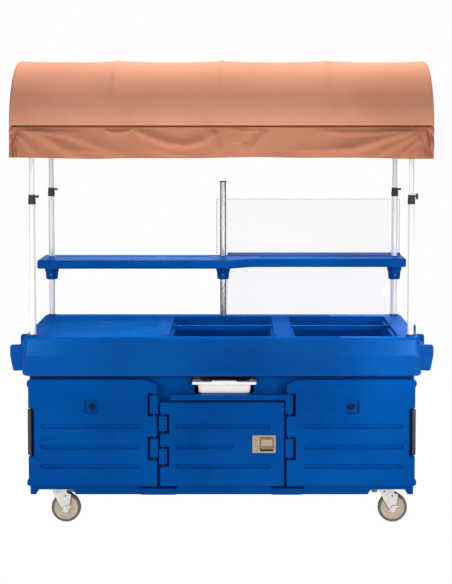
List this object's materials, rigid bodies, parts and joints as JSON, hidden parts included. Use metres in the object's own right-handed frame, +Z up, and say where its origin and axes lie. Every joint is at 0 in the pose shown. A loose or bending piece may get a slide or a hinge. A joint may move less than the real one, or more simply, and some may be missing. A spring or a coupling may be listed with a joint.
{
  "type": "mobile vending cart",
  "caption": "Mobile vending cart with moulded cabinet and doors, food wells, overshelf with clear guards, fabric barrel canopy on telescoping posts and swivel casters.",
  "frame": {"origin": "on the floor under the middle of the cart", "axes": "+Z up, +X to the right of someone facing the doors, +Y from the doors towards the back"},
  "size_m": [2.165, 0.826, 2.392],
  "materials": {
    "blue_plastic": "moulded polyethylene, satin, fine pebble grain",
    "black_plastic": "satin black nylon",
    "post_aluminium": "clear anodised tube, drawn finish",
    "chrome_steel": "bright plated",
    "latch_steel": "brushed stainless steel",
    "caster_zinc": "zinc plated pressed steel",
    "white_plastic": "white food-grade plastic, semi gloss",
    "clear_guard": "clear acrylic sheet, polished edges",
    "canopy_fabric": "woven acrylic canvas",
    "wheel_rubber": "grey-brown elastomer tread on a beige hub"
  },
  "bodies": {
    "cart": {"cabinet_body": "blue_plastic", "counter_body": "blue_plastic", "left_hinge_pin": "chrome_steel", "center_hinge_pin": "chrome_steel", "right_hinge_pin": "chrome_steel", "pan_runner_left": "caster_zinc", "pan_runner_right": "caster_zinc", "post_front_left": "post_aluminium", "post_front_right": "post_aluminium", "post_rear_left": "post_aluminium", "post_rear_right": "post_aluminium", "post_collar_front_left": "black_plastic", "post_collar_front_right": "black_plastic", "post_collar_rear_left": "black_plastic", "post_collar_rear_right": "black_plastic", "post_clamp_front_left": "black_plastic", "post_clamp_front_right": "black_plastic", "post_clamp_rear_left": "black_plastic", "post_clamp_rear_right": "black_plastic", "center_post": "chrome_steel", "overshelf": "blue_plastic", "upper_guard_panel": "clear_guard", "lower_guard_panel": "clear_guard", "caster_plate_front_left": "caster_zinc", "caster_plate_front_right": "caster_zinc", "caster_plate_rear_left": "caster_zinc", "caster_plate_rear_right": "caster_zinc"},
    "left_door": {"left_door": "blue_plastic"},
    "center_door": {"center_door": "blue_plastic", "paddle_latch_case": "latch_steel"},
    "right_door": {"right_door": "blue_plastic"},
    "left_side_latch": {"left_side_latch": "black_plastic"},
    "right_side_latch": {"right_side_latch": "black_plastic"},
    "left_vent_cap": {"left_vent_cap": "black_plastic"},
    "right_vent_cap": {"right_vent_cap": "black_plastic"},
    "paddle": {"paddle_latch_handle": "latch_steel"},
    "lock_cylinder": {"lock_cylinder": "chrome_steel"},
    "pan": {"slide_out_pan": "white_plastic"},
    "divider_middle": {"well_divider_middle": "blue_plastic"},
    "divider_right": {"well_divider_right": "blue_plastic"},
    "canopy": {"canopy_tube_front_left": "post_aluminium", "canopy_tube_front_right": "post_aluminium", "canopy_tube_rear_left": "post_aluminium", "canopy_tube_rear_right": "post_aluminium", "canopy_frame": "post_aluminium", "canopy_cover": "canopy_fabric"},
    "knob_front_left": {"clamp_knob_front_left": "black_plastic"},
    "fork_front_left": {"caster_fork_front_left": "caster_zinc"},
    "wheel_front_left": {"caster_wheel_front_left": "wheel_rubber"},
    "brake_front_left": {"brake_lever_front_left": "caster_zinc"},
    "knob_front_right": {"clamp_knob_front_right": "black_plastic"},
    "fork_front_right": {"caster_fork_front_right": "caster_zinc"},
    "wheel_front_right": {"caster_wheel_front_right": "wheel_rubber"},
    "brake_front_right": {"brake_lever_front_right": "caster_zinc"},
    "knob_rear_left": {"clamp_knob_rear_left": "black_plastic"},
    "fork_rear_left": {"caster_fork_rear_left": "caster_zinc"},
    "wheel_rear_left": {"caster_wheel_rear_left": "wheel_rubber"},
    "knob_rear_right": {"clamp_knob_rear_right": "black_plastic"},
    "fork_rear_right": {"caster_fork_rear_right": "caster_zinc"},
    "wheel_rear_right": {"caster_wheel_rear_right": "wheel_rubber"}
  },
  "joints": [
    {"name": "left_door_hinge", "type": "hinge", "parent": "cart", "child": "left_door", "pos_m": [-0.345, -0.367, 0.5], "axis": [0, 0, 1], "range_deg": [0, 90]},
    {"name": "center_door_hinge", "type": "hinge", "parent": "cart", "child": "center_door", "pos_m": [-0.2995, -0.367, 0.45], "axis": [0, 0, -1], "range_deg": [0, 85]},
    {"name": "right_door_hinge", "type": "hinge", "parent": "cart", "child": "right_door", "pos_m": [0.345, -0.367, 0.5], "axis": [0, 0, -1], "range_deg": [0, 90]},
    {"name": "left_side_latch_pivot", "type": "hinge", "parent": "left_door", "child": "left_side_latch", "pos_m": [-0.974, -0.358, 0.4896], "axis": [0, 0, -1], "range_deg": [0, 35]},
    {"name": "right_side_latch_pivot", "type": "hinge", "parent": "right_door", "child": "right_side_latch", "pos_m": [0.974, -0.358, 0.4896], "axis": [0, 0, 1], "range_deg": [0, 35]},
    {"name": "left_vent_turn", "type": "hinge", "parent": "left_door", "child": "left_vent_cap", "pos_m": [-0.661, -0.385, 0.6215], "axis": [0, 1, 0], "range_deg": [0, 90]},
    {"name": "right_vent_turn", "type": "hinge", "parent": "right_door", "child": "right_vent_cap", "pos_m": [0.661, -0.385, 0.6215], "axis": [0, 1, 0], "range_deg": [0, 90]},
    {"name": "paddle_pull", "type": "hinge", "parent": "center_door", "child": "paddle", "pos_m": [0.2285, -0.377, 0.457], "axis": [-1, 0, 0], "range_deg": [0, 35], "stiffness_Nm_per_rad": 0.15, "springref_deg": -17.19},
    {"name": "lock_turn", "type": "hinge", "parent": "center_door", "child": "lock_cylinder", "pos_m": [0.1807, -0.385, 0.4397], "axis": [0, 1, 0], "range_deg": [0, 90]},
    {"name": "pan_slide", "type": "slide", "parent": "cart", "child": "pan", "axis": [0, -1, 0], "range_m": [0, 0.25]},
    {"name": "divider_middle_lift", "type": "slide", "parent": "cart", "child": "divider_middle", "axis": [0, 0, 1], "range_m": [0, 0.1]},
    {"name": "divider_right_lift", "type": "slide", "parent": "cart", "child": "divider_right", "axis": [0, 0, 1], "range_m": [0, 0.1]},
    {"name": "canopy_height", "type": "slide", "parent": "cart", "child": "canopy", "axis": [0, 0, 1], "range_m": [-0.28, 0]},
    {"name": "knob_front_left_turn", "type": "hinge", "parent": "cart", "child": "knob_front_left", "pos_m": [-0.962, -0.348, 1.692], "axis": [1, 0, 0], "continuous": true},
    {"name": "knob_front_right_turn", "type": "hinge", "parent": "cart", "child": "knob_front_right", "pos_m": [0.962, -0.348, 1.692], "axis": [1, 0, 0], "continuous": true},
    {"name": "knob_rear_left_turn", "type": "hinge", "parent": "cart", "child": "knob_rear_left", "pos_m": [-0.962, 0.348, 1.692], "axis": [1, 0, 0], "continuous": true},
    {"name": "knob_rear_right_turn", "type": "hinge", "parent": "cart", "child": "knob_rear_right", "pos_m": [0.962, 0.348, 1.692], "axis": [1, 0, 0], "continuous": true},
    {"name": "caster_front_left_swivel", "type": "hinge", "parent": "cart", "child": "fork_front_left", "pos_m": [-0.845, -0.285, 0.18], "axis": [0, 0, 1], "continuous": true},
    {"name": "wheel_front_left_roll", "type": "hinge", "parent": "fork_front_left", "child": "wheel_front_left", "pos_m": [-0.807, -0.285, 0.076], "axis": [0, 1, 0], "continuous": true},
    {"name": "brake_front_left_press", "type": "hinge", "parent": "fork_front_left", "child": "brake_front_left", "pos_m": [-0.807, -0.285, 0.076], "axis": [0, 1, 0], "range_deg": [0, 20]},
    {"name": "caster_front_right_swivel", "type": "hinge", "parent": "cart", "child": "fork_front_right", "pos_m": [0.845, -0.285, 0.18], "axis": [0, 0, 1], "continuous": true},
    {"name": "wheel_front_right_roll", "type": "hinge", "parent": "fork_front_right", "child": "wheel_front_right", "pos_m": [0.883, -0.285, 0.076], "axis": [0, 1, 0], "continuous": true},
    {"name": "brake_front_right_press", "type": "hinge", "parent": "fork_front_right", "child": "brake_front_right", "pos_m": [0.883, -0.285, 0.076], "axis": [0, 1, 0], "range_deg": [0, 20]},
    {"name": "caster_rear_left_swivel", "type": "hinge", "parent": "cart", "child": "fork_rear_left", "pos_m": [-0.845, 0.285, 0.18], "axis": [0, 0, 1], "continuous": true},
    {"name": "wheel_rear_left_roll", "type": "hinge", "parent": "fork_rear_left", "child": "wheel_rear_left", "pos_m": [-0.845, 0.247, 0.076], "axis": [1, 0, 0], "continuous": true},
    {"name": "caster_rear_right_swivel", "type": "hinge", "parent": "cart", "child": "fork_rear_right", "pos_m": [0.845, 0.285, 0.18], "axis": [0, 0, 1], "continuous": true},
    {"name": "wheel_rear_right_roll", "type": "hinge", "parent": "fork_rear_right", "child": "wheel_rear_right", "pos_m": [0.845, 0.247, 0.076], "axis": [1, 0, 0], "continuous": true}
  ]
}
